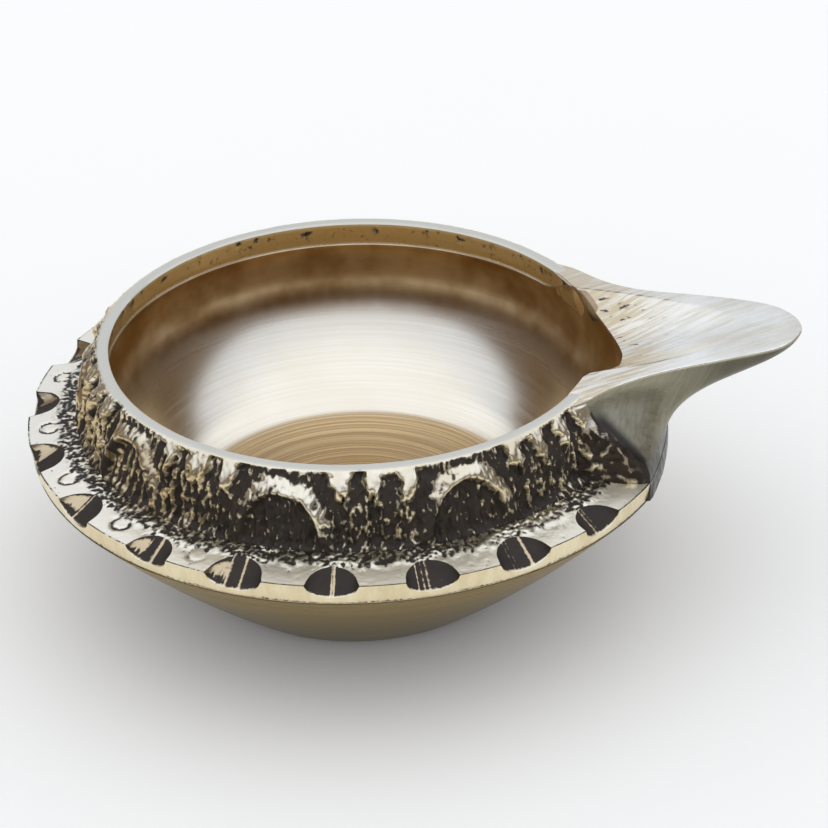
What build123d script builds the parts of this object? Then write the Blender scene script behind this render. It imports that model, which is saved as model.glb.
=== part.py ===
from build123d import *
from math import atan2, cos, pi, radians, sin, sqrt, tan
import os

# Butter lamp of cast and turned brass: a footed bowl, a carved collar with a scalloped
# flange, and a filed wick spout, brazed together.
# Millimetres. The foot's centre is the origin, +Z is up and the spout points along +X.

# Rim and collar
lamp_height = 26.5
rim_radius = 26.0
rim_width = 1.25
rim_flare = 0.3
collar_lean = 2.5
collar_wall = 0.9
collar_root_chamfer = 0.55

# Flange
ledge_width = 5.0
ledge_fall = 0.5
flange_drop = 8.3
flange_edge = 2.1
flange_taper = 0.3
front_inset = 1.35
front_radius = 49.4

# Filed scallops round the flange: a wide run, then a close run back to the spout
scallop_start = 43.5
wide_pitch = 18.95
wide_count = 11
close_pitch = 16.65
close_count = 5
scallop_width = 5.3
scallop_reach = 2.5
scallop_fall = 1.4
file_lead = 1.25

# Carving on the slope: petals with raised hoods, and upright flutes between them
petal_start = 63.8
petal_pitch = 38.3
petal_count = 7
petal_half_width = 4.5
petal_tall = 6.7
petal_sides = 10
petal_hollow_share = 0.78
petal_rise = 0.4
petal_sink = 0.5
petal_root = 0.6
flute_steps = (-10.5, -3.5, 3.5, 10.5)
carved_turn = 275.0
flute_top = 0.7
flute_length = 6.4
flute_width = 1.6
flute_depth = 0.6

# Bowl
foot_radius = 16.2
foot_chamfer = 0.45
bowl_swell = 0.45
shoulder_step = 0.1
lip_drop = 2.5
lip_wall = 0.65
floor_thickness = 4.6
floor_dish = 3.7
wall_run = 5.4
wall_swell = 2.3

# Wick spout, measured from the rim
spout_length = 19.7
spout_root_turn = 30.5
spout_root_spread = 1.0
spout_foot_half_width = 16.4
spout_foot_inset = 0.2
spout_back_turn = 42.0
spout_back_inset = 2.5
flare_length = 1.1
flare_half_width = 10.2
waist_length = 4.6
waist_half_width = 8.55
nose_length = 5.2
nose_half_width = 5.5
tip_length = 1.7
tip_half_width = 3.6
keel_hollow = 1.3
keel_levels = (0.0, 0.25, 0.6, 1.0)

# Wick channel and the spout's mouth in the rim
channel_depth = 1.9
channel_length = 13.5
channel_radius = 18.0
mouth_half_width = 8.0

# Joints
braze_gap = 0.15

# Heights and radii that the pieces share
ledge_height = lamp_height - flange_drop
corner_height = ledge_height + ledge_fall
seat_height = ledge_height - flange_edge
seat_drop = flange_drop + flange_edge
lip_height = lamp_height - lip_drop
mouth_radius = rim_radius - rim_width
ledge_radius = rim_radius + collar_lean
flange_radius = ledge_radius + ledge_width
edge_foot_radius = flange_radius - flange_taper
spout_reach = rim_radius + spout_length


def polar(radius, turn):
    return (radius * cos(radians(turn)), radius * sin(radians(turn)))


def socket_radius(drop):
    """Inside of the collar at a drop below the rim."""
    return rim_radius + collar_lean * drop / flange_drop - collar_wall


def neck_radius(drop):
    """Outside of the bowl's neck, which stands inside the collar."""
    return socket_radius(drop) - braze_gap


# The channel's cutter is a long round bar that lies along the spout and rises to the nose
channel_rise = atan2(channel_depth, channel_length)
channel_start = mouth_radius - rim_radius / 4
channel_start_drop = channel_depth + (rim_radius - channel_start) * tan(channel_rise)
channel_plane = Plane(
    origin=(
        channel_start - channel_radius * sin(channel_rise),
        0,
        lamp_height - channel_start_drop + channel_radius * cos(channel_rise),
    ),
    x_dir=(0, 1, 0),
    z_dir=(cos(channel_rise), 0, sin(channel_rise)),
)

# The spout's mouth is a slot through the rim, down to the bowl's lip
with BuildSketch(Plane.XY.offset(lip_height)) as mouth_slot:
    with Locations((rim_radius, 0)):
        Rectangle(2 * ledge_width, 2 * mouth_half_width)

# Under the spout the flange and the bowl's shoulder are filed back to a flatter round
front_centre = flange_radius - front_inset - front_radius
with BuildSketch() as front_waste:
    with Locations((flange_radius, 0)):
        Rectangle(2 * ledge_width, flange_radius)
    with Locations((front_centre, 0)):
        Circle(front_radius, mode=Mode.SUBTRACT)

# The scallop's cutter is a round file, tilted down and outward over the flange's edge
file_tilt = atan2(scallop_fall, scallop_reach)
file_bite = scallop_reach * sin(file_tilt)
file_radius = ((scallop_width / 2) ** 2 + file_bite**2) / (2 * file_bite)
file_offset = file_radius - file_bite
file_back = scallop_reach + file_lead
file_end_radius = flange_radius + file_offset * sin(file_tilt) - file_back * cos(file_tilt)
file_end_height = ledge_height + file_offset * cos(file_tilt) + file_back * sin(file_tilt)
file_run = 3 * file_back
wide_turns = [scallop_start + wide_pitch * number for number in range(wide_count)]
close_turns = [wide_turns[-1] + close_pitch * number for number in range(1, close_count + 1)]
scallop_planes = [
    Plane(
        origin=(*polar(file_end_radius, turn), file_end_height),
        x_dir=polar(1, turn + 90),
        z_dir=(*polar(cos(file_tilt), turn), -sin(file_tilt)),
    )
    for turn in wide_turns + close_turns
]

# The flutes' cutters lie down the slope, four between each two petals, clear of the spout
slope_lean = atan2(collar_lean, flange_drop - ledge_fall)
gap_turns = [petal_start + petal_pitch * (number - 0.5) for number in range(petal_count + 1)]
flute_turns = [gap + step for gap in gap_turns for step in flute_steps]
flute_radius = rim_radius + flute_top * sin(slope_lean)
flute_height = lamp_height - flute_top * cos(slope_lean)
flute_planes = [
    Plane(
        origin=(*polar(flute_radius, turn), flute_height),
        x_dir=polar(1, turn + 90),
        z_dir=(*polar(sin(slope_lean), turn), -cos(slope_lean)),
    )
    for turn in flute_turns
    if abs(turn - 180) < carved_turn / 2
]

# The petals stand on the slope's root, each on a plane that touches the slope
petal_radius = ledge_radius - collar_root_chamfer * sin(slope_lean)
petal_height = corner_height + collar_root_chamfer * cos(slope_lean)
petal_planes = [
    Plane(
        origin=(*polar(petal_radius, turn), petal_height),
        x_dir=polar(1, turn + 90),
        z_dir=(*polar(cos(slope_lean), turn), sin(slope_lean)),
    )
    for turn in [petal_start + petal_pitch * number for number in range(petal_count)]
]


def petal_arch(share):
    """Corners of a petal's arch, or of a smaller one inside it."""
    bends = [pi * side / petal_sides for side in range(petal_sides + 1)]
    return [(petal_half_width * share * cos(bend), petal_tall * share * sin(bend)) for bend in bends]


# Bowl: turned cup with a flat foot, a shoulder for the collar and a thin neck inside it
lip_top = lip_height - braze_gap
lip_radius = neck_radius(lip_drop) - lip_wall
shoulder_radius = edge_foot_radius - shoulder_step
shoulder_height = seat_height - braze_gap

with BuildPart() as bowl:
    with BuildSketch(Plane.XZ):
        with BuildLine():
            foot_corner = (foot_radius, 0)
            shoulder = (shoulder_radius, shoulder_height)
            swell = SagittaArc(foot_corner, shoulder, -bowl_swell, mode=Mode.PRIVATE)
            foot_share = foot_chamfer / swell.length
            Polyline((0, 0), (foot_radius - foot_chamfer, 0), swell @ foot_share)
            outside = TangentArc(swell @ foot_share, shoulder, tangent=swell % foot_share)
            Polyline(
                outside @ 1,
                (neck_radius(seat_drop), shoulder_height),
                (neck_radius(lip_drop), lip_top),
                (lip_radius, lip_top),
            )
            floor_edge = (lip_radius - wall_run, floor_thickness + floor_dish)
            TangentArc((0, floor_thickness), floor_edge, tangent=(1, 0))
            SagittaArc(floor_edge, (lip_radius, lip_top), -wall_swell)
            Line((0, floor_thickness), (0, 0))
        make_face()
    revolve(axis=Axis.Z)
    extrude(front_waste.sketch, amount=lamp_height, mode=Mode.SUBTRACT)
bowl.part.label = "bowl"


# Collar: cast ring with a ground rim, a leaning slope, a ledge and a filed flange
def collar_face(gap):
    """Points down the slope, from the rim's edge over the eased root to where the ledge starts."""
    rim_edge = Vector(rim_radius + gap, lamp_height)
    root = Vector(ledge_radius + gap, corner_height + gap)
    up_slope = (rim_edge - root).normalized() * collar_root_chamfer
    along_ledge = Vector(ledge_width, -ledge_fall).normalized() * collar_root_chamfer
    return rim_edge, root + up_slope, root + along_ledge


def collar_inside(gap):
    """Half section of all that the collar's outside encloses, grown by a gap."""
    past_edge = flange_radius + ledge_width
    past_edge_height = ledge_height - ledge_fall + gap
    above_rim = lamp_height + flange_edge
    with BuildSketch(Plane.XZ) as section:
        with BuildLine():
            Polyline(
                *collar_face(gap),
                (past_edge, past_edge_height),
                (past_edge, 0),
                (0, 0),
                (0, above_rim),
                (rim_radius + gap, above_rim),
                close=True,
            )
        make_face()
    return section.sketch


# Raised hoods of the petals, which follow the round of the slope
with BuildPart() as hoods:
    with BuildSketch(*petal_planes):
        with BuildLine():
            Polyline(*petal_arch(1), close=True)
        make_face()
    extrude(amount=petal_root, both=True)
    revolve(collar_inside(petal_rise), axis=Axis.Z, mode=Mode.INTERSECT)

with BuildPart() as collar:
    with BuildSketch(Plane.XZ):
        with BuildLine():
            Polyline(
                *collar_face(0),
                (flange_radius, ledge_height),
                (edge_foot_radius, seat_height),
                (socket_radius(seat_drop), seat_height),
                (socket_radius(lip_drop), lip_height),
                (mouth_radius + rim_flare, lip_height),
                (mouth_radius, lamp_height),
                close=True,
            )
        make_face()
    revolve(axis=Axis.Z)
    with BuildSketch(*scallop_planes):
        Circle(file_radius)
    extrude(amount=file_run, mode=Mode.SUBTRACT)
    extrude(front_waste.sketch, amount=lamp_height, mode=Mode.SUBTRACT)
    with BuildSketch(*flute_planes):
        with BuildLine():
            Polyline((-flute_width, flute_depth), (0, -flute_depth), (flute_width, flute_depth), close=True)
        make_face()
    extrude(amount=flute_length, mode=Mode.SUBTRACT)
    add(hoods.part)
    with BuildSketch(*[plane.offset(-petal_sink) for plane in petal_planes]):
        with BuildLine():
            Polyline(*petal_arch(petal_hollow_share), close=True)
        make_face()
    extrude(amount=petal_sink + petal_root, mode=Mode.SUBTRACT)
    extrude(mouth_slot.sketch, amount=lip_drop, mode=Mode.SUBTRACT)
    with BuildSketch(channel_plane):
        Circle(channel_radius)
    extrude(amount=spout_reach, mode=Mode.SUBTRACT)
collar.part.label = "collar"


# Spout: horn lofted from the filed front of the flange up to the long tongue at the rim
def front_point(half_width):
    """Place on the filed front, at a distance to the side of the spout's middle."""
    return (front_centre + sqrt(front_radius**2 - half_width**2) - spout_foot_inset, half_width)


def horn_outline(level):
    """Outline of the horn at one height, from the tongue (level 0) to the flange (level 1)."""
    tongue = (
        polar(rim_radius + spout_root_spread, spout_root_turn),
        (rim_radius + flare_length, flare_half_width),
        (rim_radius + waist_length, waist_half_width),
        (spout_reach - nose_length, nose_half_width),
        (spout_reach - tip_length, tip_half_width),
        (spout_reach, 0),
    )
    last = len(tongue) - 1
    foot = [front_point(spout_foot_half_width * (1 - number / last)) for number in range(last + 1)]
    share = ((1 + cos(pi * level)) / 2) ** keel_hollow
    near = [Vector(*low) + (Vector(*high) - Vector(*low)) * share for high, low in zip(tongue, foot)]
    far = [Vector(point.X, -point.Y) for point in reversed(near[:-1])]
    back = Vector(*polar(mouth_radius - spout_back_inset, spout_back_turn))
    with BuildSketch(Plane.XY.offset(lamp_height - flange_drop * level)) as outline:
        with BuildLine():
            edge = Spline(*near, *far)
            Polyline(edge @ 1, Vector(back.X, -back.Y), back, edge @ 0)
        make_face()
    return outline.sketch


horn_levels = [horn_outline(level) for level in keel_levels]
collar_solid = collar_inside(0)
saddle_solid = collar_inside(braze_gap)

with BuildPart() as spout:
    loft(sections=horn_levels)
    revolve(saddle_solid, axis=Axis.Z, mode=Mode.SUBTRACT)
    with BuildSketch(channel_plane):
        Circle(channel_radius)
    extrude(amount=spout_reach, mode=Mode.SUBTRACT)
spout.part.label = "spout"

# Braze between the bowl's neck and the collar: a thin sleeve with a flat skirt
with BuildPart() as bowl_braze:
    with BuildSketch(Plane.XZ):
        with BuildLine():
            Polyline(
                (lip_radius, lip_top),
                (neck_radius(lip_drop), lip_top),
                (neck_radius(seat_drop), shoulder_height),
                (shoulder_radius, shoulder_height),
                (shoulder_radius, seat_height),
                (socket_radius(seat_drop), seat_height),
                (socket_radius(lip_drop), lip_height),
                (lip_radius, lip_height),
                close=True,
            )
        make_face()
    revolve(axis=Axis.Z)
    extrude(front_waste.sketch, amount=lamp_height, mode=Mode.SUBTRACT)
bowl_braze.part.label = "bowl_braze"

# Braze between the collar and the spout: a thin saddle under the horn
with BuildPart() as spout_braze:
    loft(sections=horn_levels)
    revolve(saddle_solid, axis=Axis.Z, mode=Mode.INTERSECT)
    revolve(collar_solid, axis=Axis.Z, mode=Mode.SUBTRACT)
    extrude(mouth_slot.sketch, amount=lip_drop, mode=Mode.SUBTRACT)
    with BuildSketch(channel_plane):
        Circle(channel_radius)
    extrude(amount=spout_reach, mode=Mode.SUBTRACT)
spout_braze.part.label = "spout_braze"

os.makedirs("parts", exist_ok=True)
export_step(bowl.part, "parts/bowl.step")
export_step(collar.part, "parts/collar.step")
export_step(spout.part, "parts/spout.step")
export_step(bowl_braze.part, "parts/bowl_braze.step")
export_step(spout_braze.part, "parts/spout_braze.step")
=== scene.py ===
# %% [markdown]
# # Butter lamp of cast and turned brass
# This lesson dresses a small brass lamp. The solid model gives the frame: a turned bowl, a
# carved collar with a scalloped flange, a filed wick spout and two thin films of braze. Each
# step remakes one piece as a fine mesh with the carving, the file work and the wear that the
# plain solids leave out, and then gives it a finish.

# %% Load the frame
import bpy
import bmesh
from functools import lru_cache
from math import atan2, cos, degrees, exp, hypot, pi, radians, sin, sqrt, tan
from mathutils import Euler, Matrix, Vector, noise


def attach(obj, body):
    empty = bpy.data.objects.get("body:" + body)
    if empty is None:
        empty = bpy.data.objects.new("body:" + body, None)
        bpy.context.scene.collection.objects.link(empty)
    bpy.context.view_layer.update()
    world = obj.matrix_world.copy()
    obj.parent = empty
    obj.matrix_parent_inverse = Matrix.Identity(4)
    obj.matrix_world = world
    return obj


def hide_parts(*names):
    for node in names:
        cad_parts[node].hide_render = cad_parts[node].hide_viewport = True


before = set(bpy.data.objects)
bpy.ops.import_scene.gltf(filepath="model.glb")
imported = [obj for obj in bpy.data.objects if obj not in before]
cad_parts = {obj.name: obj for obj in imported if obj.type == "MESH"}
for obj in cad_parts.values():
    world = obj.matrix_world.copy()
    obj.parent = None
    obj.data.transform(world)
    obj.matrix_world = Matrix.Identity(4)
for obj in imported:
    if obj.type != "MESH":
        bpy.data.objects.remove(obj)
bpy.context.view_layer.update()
MM = 0.001
print("pieces in the frame:", sorted(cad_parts))

# %% [markdown]
# ## Sizes that the pieces share
# The lamp is small, so every size is written in millimetres and turned into metres only when
# a mesh is finished. The spout points along +X, and turns are counted from there. Under the
# spout the flange is filed back to a flatter round, and that limit is shared too.

# %% Shared sizes
RIM_TOP, RIM_OUT, RIM_IN = 26.5, 26.0, 24.75
LIP_TOP, CEILING = 23.85, 24.0
LEDGE_IN, LEDGE_IN_TOP = 28.5, 18.7
LEDGE_OUT, LEDGE_OUT_TOP = 33.49, 18.2
EDGE_FOOT, EDGE_FOOT_TOP = 33.2, 16.1
FRONT_CENTRE, FRONT_ROUND = -17.25, 49.4


def clamp(value, low=0.0, high=1.0):
    """Value held between low and high."""
    return max(low, min(high, value))


def ease(low, high, value):
    """Soft step from 0 to 1 between low and high."""
    share = clamp((value - low) / (high - low))
    return share * share * (3 - 2 * share)


def blend(start, end, share):
    """Value that runs from start to end as share runs from 0 to 1."""
    return start + (end - start) * share


def polar(radius, turn):
    """Place at a distance from the lamp's axis and a turn from the spout."""
    return radius * cos(radians(turn)), radius * sin(radians(turn))


def from_spout(turn):
    """Angle away from the spout's middle, whichever side."""
    return abs((turn + 180) % 360 - 180)


def grain(x, y, z, size):
    """Smooth chance pattern whose lumps are about as wide as size."""
    return noise.noise(Vector((x, y, z)) / size)


def front_limit(turn):
    """Radius of the filed front, measured from the lamp's axis."""
    side = FRONT_CENTRE * sin(radians(turn))
    return FRONT_CENTRE * cos(radians(turn)) + sqrt(FRONT_ROUND**2 - side**2)


print("flange", 2 * LEDGE_OUT, "mm across, and", round(front_limit(0), 2), "mm out under the spout")

# %% [markdown]
# ## The camera
# The view was found by matching the rim, the lip and the flange of the solid model with the
# photograph. A long lens from about a third of a metre keeps the ellipses as flat as they are
# there, and a small roll lifts the spout's side.

# %% Camera
CAMERA_AIM = Vector((6.071, 0.0, 17.108)) * MM
CAMERA_RISE = radians(30.7315)
CAMERA_ROLL = radians(-1.489)
CAMERA_AWAY = 350.0 * MM
LENS_LENGTH, SENSOR_WIDTH, NEAREST_SEEN = 147.79, 36.0, 0.01
camera_data = bpy.data.cameras.new("photo_view")
camera_data.lens = LENS_LENGTH
camera_data.sensor_width = SENSOR_WIDTH
camera_data.clip_start = NEAREST_SEEN
camera = bpy.data.objects.new("photo_view", camera_data)
camera.location = CAMERA_AIM + CAMERA_AWAY * Vector((0, -cos(CAMERA_RISE), sin(CAMERA_RISE)))
upright = Euler((pi / 2 - CAMERA_RISE, 0, 0)).to_matrix()
camera.rotation_euler = (upright @ Matrix.Rotation(CAMERA_ROLL, 3, "Z")).to_euler()
bpy.context.collection.objects.link(camera)
bpy.context.scene.camera = camera
print("camera at", [round(value, 4) for value in camera.location])

# %% [markdown]
# ## From a blank to a piece
# Each piece starts as a blank that Blender's spin makes: a ring of points, turned about an
# axis into a tube. Every point of the blank knows its row, which is its place round the
# section, and its column, which is its place along the turn. A shaping rule then moves it to
# its place on the lamp, as a hammer and file would. The alternative, a boolean for each cut,
# would leave long thin faces that show in a polished finish. Each point also carries a colour
# that tells the finish how the metal was worked there, and where shade or a reflection is painted.

# %% Blanks
BLANK_REACH = 3.0
SAME_POINT, NO_LENGTH = 2e-6, 1e-6


def tube_blank(rows, columns, full):
    """Tube of unit section, turned all the way round or half way."""
    blank = bmesh.new()
    bmesh.ops.create_circle(blank, segments=rows, radius=1.0)
    bmesh.ops.rotate(blank, verts=blank.verts, matrix=Matrix.Rotation(pi / 2, 3, "X"))
    bmesh.ops.translate(blank, verts=blank.verts, vec=(BLANK_REACH, 0, 0))
    bmesh.ops.spin(
        blank,
        geom=blank.verts[:] + blank.edges[:],
        axis=(0, 0, 1),
        angle=2 * pi if full else pi,
        steps=columns if full else columns - 1,
        use_merge=full,
    )
    return blank


def blank_place(point, rows, columns, full):
    """Row and column of a point of the blank."""
    around = atan2(point.y, point.x)
    section = atan2(point.z, hypot(point.x, point.y) - BLANK_REACH)
    row = round(section / (2 * pi) * rows) % rows
    if full:
        return row, round(around % (2 * pi) / (2 * pi) * columns) % columns
    return row, round(abs(around) / pi * (columns - 1))


def finish_piece(name, mesh_maker, nodes, sharp):
    """Turn a shaped bmesh into an object that rides on the lamp and stands for its nodes."""
    bmesh.ops.remove_doubles(mesh_maker, verts=mesh_maker.verts, dist=SAME_POINT)
    bmesh.ops.dissolve_degenerate(mesh_maker, edges=mesh_maker.edges, dist=NO_LENGTH)
    bmesh.ops.recalc_face_normals(mesh_maker, faces=mesh_maker.faces)
    for face in mesh_maker.faces:
        face.smooth = True
    for edge in mesh_maker.edges:
        edge.smooth = not (edge.is_manifold and edge.calc_face_angle() > radians(sharp))
    mesh = bpy.data.meshes.new(name)
    mesh_maker.to_mesh(mesh)
    open_edges = sum(1 for edge in mesh_maker.edges if not edge.is_manifold)
    mesh_maker.free()
    piece = bpy.data.objects.new(name, mesh)
    bpy.context.collection.objects.link(piece)
    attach(piece, "root")
    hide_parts(*nodes)
    mesh.calc_loop_triangles()
    print(name, len(mesh.loop_triangles), "triangles,", open_edges, "open edges")
    return piece


# %% [markdown]
# ## The wick channel and the spout's mouth
# The spout's top carries a shallow round channel, deepest at the rim, where it opens into the
# bowl. The bowl, the collar and the spout all meet along that mouth, so its shape is one rule
# that all three use. Beside the channel the rim's inner edge dips and moves out to it, most of
# all on the near side, where the mouth was filed out further.

# %% Channel and mouth
CHANNEL_DEPTH, CHANNEL_LENGTH, CHANNEL_ROUND = 1.9, 13.5, 18.0
CHANNEL_RISE = CHANNEL_DEPTH / CHANNEL_LENGTH
MOUTH_OPEN, MOUTH_SHUT, MOUTH_FILED, MOUTH_RADIUS = 12.5, 23.0, 5.0, 27.4
MOUTH_CURVE, MOUTH_DIP = 0.35, 0.4
LIP_LEVEL_TURN, LIP_RISEN_TURN = 37.0, 21.0


def channel_top(x, y):
    """Height of the spout's top, with the channel cut into it."""
    depth = CHANNEL_DEPTH - (x - RIM_OUT) * CHANNEL_RISE
    sag = CHANNEL_ROUND - sqrt(max(0.0, CHANNEL_ROUND**2 - y * y))
    return RIM_TOP - max(0.0, depth - sag)


def mouth_share(turn):
    """1 where the mouth is filed out furthest, 0 where the rim is whole."""
    side = (turn + 180) % 360 - 180
    far = clamp((MOUTH_SHUT - side) / (MOUTH_SHUT + MOUTH_FILED))
    return blend(far, ease(0.0, 1.0, far), MOUTH_CURVE) * ease(-MOUTH_SHUT, -MOUTH_OPEN, side)


def mouth_edge(turn):
    """Radius and height of the edge where the channel drops into the bowl."""
    share = mouth_share(turn)
    radius = blend(RIM_IN, MOUTH_RADIUS, share)
    x, y = polar(radius, turn)
    return radius, blend(RIM_TOP, channel_top(x, y), ease(0.0, MOUTH_DIP, share))


def lip_rise(turn):
    """How far the bowl's lip has risen to the mouth's edge, from 0 to 1."""
    return ease(LIP_LEVEL_TURN, LIP_RISEN_TURN, from_spout(turn))


print("mouth edge in the middle:", [round(value, 2) for value in mouth_edge(0)])

# %% [markdown]
# ## The bowl
# The bowl was cast and then turned on a lathe, so its section is a profile of arcs. A short
# chain of points is enough for spin to make it. Under the mouth its wall leans out to meet the
# channel, and under the spout its shoulder is filed back, which is done by moving those points
# after the spin. Above the level of the butter the wall is painted brown, a painted reflection of
# the dim horizon, and the floor is painted a deeper gold, a painted reflection of the back wall.

# %% Bowl profile
def arc(start, heading, end, count):
    """Points of an arc that leaves start in a direction and ends at end, with its last direction."""
    (r0, z0), (r1, z1) = start, end
    half = atan2(z1 - z0, r1 - r0) - radians(heading)
    radius = hypot(r1 - r0, z1 - z0) / (2 * sin(half))
    first = radians(heading)
    points = []
    for step in range(1, count + 1):
        now = first + 2 * half * step / count
        points.append((r0 + radius * (sin(now) - sin(first)), z0 + radius * (cos(first) - cos(now))))
    return points, heading + degrees(2 * half)


FOOT_EDGE, UNDER_HEADING = (16.25, 0.12), 38.6
SHOULDER_OUT, SHOULDER_IN, SHOULDER_TOP = 33.1, 27.9, 15.95
FLOOR_MIDDLE, FLOOR_EDGE, CORNER_END = (0.0, 4.6), (17.0, 7.35), (20.03, 9.34)
WALL_RADIUS, BELLY_FOOT, LIP_ROUND = 25.05, 16.6, 0.12
under, _ = arc(FOOT_EDGE, UNDER_HEADING, (SHOULDER_OUT, SHOULDER_TOP), 30)
neck = [(SHOULDER_IN, SHOULDER_TOP), (25.72, LIP_TOP), (25.45, LIP_TOP), (25.15, LIP_TOP)]
floor_arc, turn_floor = arc(FLOOR_MIDDLE, 0.0, FLOOR_EDGE, 24)
corner_arc, turn_corner = arc(floor_arc[-1], turn_floor, CORNER_END, 10)
wall_arc, turn_wall = arc(corner_arc[-1], turn_corner, (WALL_RADIUS, BELLY_FOOT), 14)
belly_arc, _ = arc(wall_arc[-1], turn_wall, (WALL_RADIUS, LIP_TOP - LIP_ROUND), 16)
inside = [FLOOR_MIDDLE] + floor_arc + corner_arc + wall_arc + belly_arc
bowl_profile = [(0.0, 0.0), (8.0, 0.0), (15.7, 0.0), (16.05, 0.04), FOOT_EDGE]
bowl_profile += under + neck + inside[::-1]
print("bowl profile has", len(bowl_profile), "points")

# %% Bowl wear and painted reflections
OUTSIDE_BELOW, OUTSIDE_PAST, OUTSIDE_LEAN = 4.5, 15.0, 0.72
DISC_ENDS, DISC_STARTS = 17.4, 16.8


def is_outside(radius, height):
    """True on the foot, the underside, the shoulder and the neck."""
    return height < OUTSIDE_BELOW or radius > OUTSIDE_PAST + OUTSIDE_LEAN * height


def bowl_wear_and_reflections(radius, height, turn):
    """Share of polish, of the horizon's painted reflection above the butter, and of the wall's on the floor.
    """
    side = ease(25, 80, abs(turn - 90))
    painted_horizon = ease(blend(14.9, 12.5, side), blend(17.6, 17.0, side), height)
    painted_horizon *= blend(0.85, 1.0, ease(23.75, 23.5, height))
    polished = 0.0 if is_outside(radius, height) else 1.0
    return polished, painted_horizon, ease(DISC_ENDS, DISC_STARTS, radius), 1.0


print("wear at the belly's foot:", [round(share, 2) for share in bowl_wear_and_reflections(WALL_RADIUS, BELLY_FOOT, 0.0)])

# %% Bowl mesh
BOWL_COLUMNS = 360
WALL_BENDS, LIP_BENDS = 17.0, 20.0
FRONT_GAP, MOUTH_GAP, MOUTH_BELOW = 0.15, 0.03, 0.04
turning = bmesh.new()
chain = [turning.verts.new((r, 0, z)) for r, z in bowl_profile]
for first, second in zip(chain, chain[1:]):
    turning.edges.new((first, second))
bmesh.ops.spin(
    turning,
    geom=turning.verts[:] + turning.edges[:],
    axis=(0, 0, 1),
    angle=2 * pi,
    steps=BOWL_COLUMNS,
    use_merge=True,
)
# Each point's colour: polish, painted reflection of the dim horizon, painted reflection of the back wall
finish_and_painted_light_layer = turning.verts.layers.float_color.new("finish")
for vert in turning.verts:
    radius, height = hypot(vert.co.x, vert.co.y), vert.co.z
    turn = degrees(atan2(vert.co.y, vert.co.x))
    vert[finish_and_painted_light_layer] = bowl_wear_and_reflections(radius, height, turn)
    if is_outside(radius, height):
        radius = min(radius, front_limit(turn) - FRONT_GAP)
    elif height > WALL_BENDS:
        edge_radius, edge_height = mouth_edge(turn)
        rise = lip_rise(turn)
        radius += rise * ease(WALL_BENDS, LIP_TOP, height) * (edge_radius - MOUTH_GAP - WALL_RADIUS)
        height += rise * ease(LIP_BENDS, LIP_TOP, height) * (edge_height - MOUTH_BELOW - LIP_TOP)
    vert.co = (*polar(radius * MM, turn), height * MM)
bowl = finish_piece("turned_bowl", turning, ["bowl"], sharp=30)

# %% [markdown]
# ### The film of braze on the bowl
# A thin film of braze fills the joint between the bowl's neck and the collar. It follows the
# neck from the shoulder to the lip, and it rises with the lip at the mouth.

# %% Neck film
FILM_IN, FILM_OUT, FILM_UNDER = 25.12, 33.0, 15.97
FILM_MOUTH_OUT, FILM_MOUTH_BELOW, FILM_FRONT_GAP = 0.05, 0.3, 0.25
film_profile = [
    (FILM_IN, LIP_TOP),
    (FILM_IN, CEILING),
    (25.9, CEILING),
    (28.1, EDGE_FOOT_TOP),
    (FILM_OUT, EDGE_FOOT_TOP),
    (FILM_OUT, FILM_UNDER),
    (27.95, FILM_UNDER),
    (25.75, LIP_TOP),
]
film_ring = tube_blank(len(film_profile), BOWL_COLUMNS, full=True)
for vert in film_ring.verts:
    row, column = blank_place(vert.co, len(film_profile), BOWL_COLUMNS, full=True)
    radius, height = film_profile[row]
    turn = 360.0 * column / BOWL_COLUMNS
    if height > WALL_BENDS:
        edge_radius, edge_height = mouth_edge(turn)
        radius += lip_rise(turn) * (edge_radius + FILM_MOUTH_OUT - WALL_RADIUS)
        height += lip_rise(turn) * (edge_height - FILM_MOUTH_BELOW - CEILING)
    else:
        radius = min(radius, front_limit(turn) - FILM_FRONT_GAP)
    vert.co = (*polar(radius * MM, turn), height * MM)
neck_film = finish_piece("neck_film", film_ring, ["bowl_braze"], sharp=30)

# %% [markdown]
# ## The scallops
# Each scallop is the mark of a round file, held across the flange's edge and tilted down and
# outward. At a given distance from its middle, the file's underside is a straight line that
# leaves the ledge at one point and the outer edge at another, so the cut needs only those two
# points for each column of the blank, and its rim stays crisp. Along the edge the bite is a
# blunt curve, deep across the middle and steep at its two ends, and no two are quite alike.

# %% Scallop rule
FIRST_SCALLOP, WIDE_PITCH, WIDE_COUNT = 43.5, 18.95, 11
NARROW_PITCH, NARROW_COUNT = 16.65, 5
SCALLOP_TURNS = [FIRST_SCALLOP + WIDE_PITCH * number for number in range(WIDE_COUNT)]
SCALLOP_TURNS += [SCALLOP_TURNS[-1] + NARROW_PITCH * number for number in range(1, NARROW_COUNT + 1)]
CUT_INWARD, CUT_DOWN = 2.5, 1.4
FILE_TILT = atan2(CUT_DOWN, CUT_INWARD)
FILE_BITE = CUT_INWARD * sin(FILE_TILT)
SCALLOP_HALF, SCALLOP_CURVE, SCALLOP_CHANGE = 2.65, 0.45, 0.07
EDGE_GAP = 0.1
LEDGE_SLOPE = (LEDGE_IN_TOP - LEDGE_OUT_TOP) / (LEDGE_OUT - LEDGE_IN)
EDGE_TAPER = (LEDGE_OUT - EDGE_FOOT) / (LEDGE_OUT_TOP - EDGE_FOOT_TOP)


@lru_cache(maxsize=None)
def flange_out(turn):
    """Outer radius of the flange, filed back under the spout."""
    return min(LEDGE_OUT, front_limit(turn) - EDGE_GAP)


@lru_cache(maxsize=None)
def scallop_offset(turn):
    """Signed distance along the edge to the nearest scallop, and that scallop's number."""
    gaps = [((turn - middle + 180) % 360 - 180, number) for number, middle in enumerate(SCALLOP_TURNS)]
    gap, number = min(gaps, key=lambda pair: abs(pair[0]))
    return radians(gap) * LEDGE_OUT, number


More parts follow.
